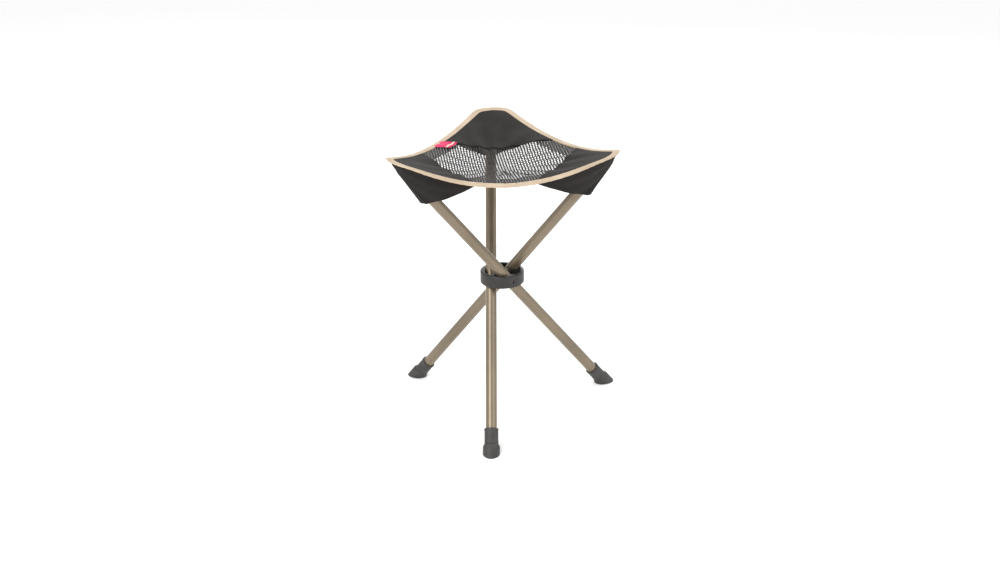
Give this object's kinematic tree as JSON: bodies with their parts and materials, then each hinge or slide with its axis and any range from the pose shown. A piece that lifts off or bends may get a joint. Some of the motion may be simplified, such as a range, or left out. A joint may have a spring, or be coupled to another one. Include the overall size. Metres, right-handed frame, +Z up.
{
  "type": "folding three leg stool",
  "caption": "Folding tripod camping stool with a sling seat of fabric and mesh, round tube legs crossing in a ring hub, and rubber feet.",
  "frame": {"origin": "on the floor under the hub's axis", "axes": "+Z up, -Y towards the front foot, +X to the right seen from the front"},
  "size_m": [0.3837, 0.424, 0.4813],
  "materials": {
    "hub_plastic": "moulded nylon, fine texture",
    "pin_steel": "plain steel",
    "tube_paint": "champagne powder coat, satin",
    "foot_rubber": "matt rubber",
    "plug_plastic": "moulded",
    "panel_fabric": "plain woven polyester",
    "mesh_fabric": "open polyester mesh",
    "binding_tape": "folded grosgrain tape",
    "label_fabric": "woven label, plain stripe"
  },
  "bodies": {
    "hub": {"hub": "hub_plastic", "pivot_pin_a": "pin_steel", "pivot_pin_b": "pin_steel", "pivot_pin_c": "pin_steel"},
    "leg_a": {"leg_tube_a": "tube_paint", "rubber_foot_a": "foot_rubber", "top_plug_a": "plug_plastic", "pocket_a": "panel_fabric"},
    "flap_a_left": {"corner_panel_a_left": "panel_fabric", "seat_mesh_a_left": "mesh_fabric", "edge_binding_a_left": "binding_tape", "side_label": "label_fabric"},
    "flap_a_right": {"corner_panel_a_right": "panel_fabric", "seat_mesh_a_right": "mesh_fabric", "edge_binding_a_right": "binding_tape"},
    "leg_b": {"leg_tube_b": "tube_paint", "rubber_foot_b": "foot_rubber", "top_plug_b": "plug_plastic", "pocket_b": "panel_fabric"},
    "flap_b_left": {"corner_panel_b_left": "panel_fabric", "seat_mesh_b_left": "mesh_fabric", "edge_binding_b_left": "binding_tape"},
    "flap_b_right": {"corner_panel_b_right": "panel_fabric", "seat_mesh_b_right": "mesh_fabric", "edge_binding_b_right": "binding_tape"},
    "leg_c": {"leg_tube_c": "tube_paint", "rubber_foot_c": "foot_rubber", "top_plug_c": "plug_plastic", "pocket_c": "panel_fabric"},
    "flap_c_left": {"corner_panel_c_left": "panel_fabric", "seat_mesh_c_left": "mesh_fabric", "edge_binding_c_left": "binding_tape"},
    "flap_c_right": {"corner_panel_c_right": "panel_fabric", "seat_mesh_c_right": "mesh_fabric", "edge_binding_c_right": "binding_tape"}
  },
  "joints": [
    {"name": "leg_a_fold", "type": "hinge", "parent": "hub", "child": "leg_a", "pos_m": [-0.019, 0, 0.24], "axis": [1, 0, 0], "range_deg": [0, 39.5], "deforming": ["pocket_a"]},
    {"name": "flap_a_left_fold", "type": "hinge", "parent": "leg_a", "child": "flap_a_left", "pos_m": [-0.01713, 0.2083, 0.48], "axis": [0.486, -0.7579, -0.4352], "range_deg": [0, 78.1], "deforming": ["corner_panel_a_left", "seat_mesh_a_left", "edge_binding_a_left", "side_label"]},
    {"name": "flap_a_right_fold", "type": "hinge", "parent": "leg_a", "child": "flap_a_right", "pos_m": [-0.01713, 0.2083, 0.48], "axis": [0.9988, 0.0417, 0.0239], "range_deg": [0, 36.9], "deforming": ["corner_panel_a_right", "seat_mesh_a_right", "edge_binding_a_right"]},
    {"name": "leg_b_fold", "type": "hinge", "parent": "hub", "child": "leg_b", "pos_m": [0.0095, -0.01645, 0.24], "axis": [-0.5, 0.866, 0], "range_deg": [0, 39.5], "deforming": ["pocket_b"]},
    {"name": "flap_b_left_fold", "type": "hinge", "parent": "leg_b", "child": "flap_b_left", "pos_m": [-0.17183, -0.11898, 0.48], "axis": [0.375, 0.8248, -0.4232], "range_deg": [0, 72.6], "deforming": ["corner_panel_b_left", "seat_mesh_b_left", "edge_binding_b_left"]},
    {"name": "flap_b_right_fold", "type": "hinge", "parent": "leg_b", "child": "flap_b_right", "pos_m": [-0.17183, -0.11898, 0.48], "axis": [-0.5355, 0.8442, 0.0239], "range_deg": [0, 36.9], "deforming": ["corner_panel_b_right", "seat_mesh_b_right", "edge_binding_b_right"]},
    {"name": "leg_c_fold", "type": "hinge", "parent": "hub", "child": "leg_c", "pos_m": [0.0095, 0.01645, 0.24], "axis": [-0.5, -0.866, 0], "range_deg": [0, 39.5], "deforming": ["pocket_c"]},
    {"name": "flap_c_left_fold", "type": "hinge", "parent": "leg_c", "child": "flap_c_left", "pos_m": [0.18895, -0.08932, 0.48], "axis": [-0.8994, -0.0419, -0.4352], "range_deg": [0, 78.1], "deforming": ["corner_panel_c_left", "seat_mesh_c_left", "edge_binding_c_left"]},
    {"name": "flap_c_right_fold", "type": "hinge", "parent": "leg_c", "child": "flap_c_right", "pos_m": [0.18895, -0.08932, 0.48], "axis": [-0.588, -0.8066, -0.0608], "range_deg": [0, 37.6], "deforming": ["corner_panel_c_right", "seat_mesh_c_right", "edge_binding_c_right"]}
  ],
  "couplings": [
    {"joint": "flap_a_left_fold", "follows": "leg_a_fold", "ratio": 1.9766},
    {"joint": "flap_a_right_fold", "follows": "leg_a_fold", "ratio": 0.93224},
    {"joint": "leg_b_fold", "follows": "leg_a_fold", "ratio": 1},
    {"joint": "flap_b_left_fold", "follows": "leg_a_fold", "ratio": 1.8379},
    {"joint": "flap_b_right_fold", "follows": "leg_a_fold", "ratio": 0.93224},
    {"joint": "leg_c_fold", "follows": "leg_a_fold", "ratio": 1},
    {"joint": "flap_c_left_fold", "follows": "leg_a_fold", "ratio": 1.9766},
    {"joint": "flap_c_right_fold", "follows": "leg_a_fold", "ratio": 0.95061}
  ]
}
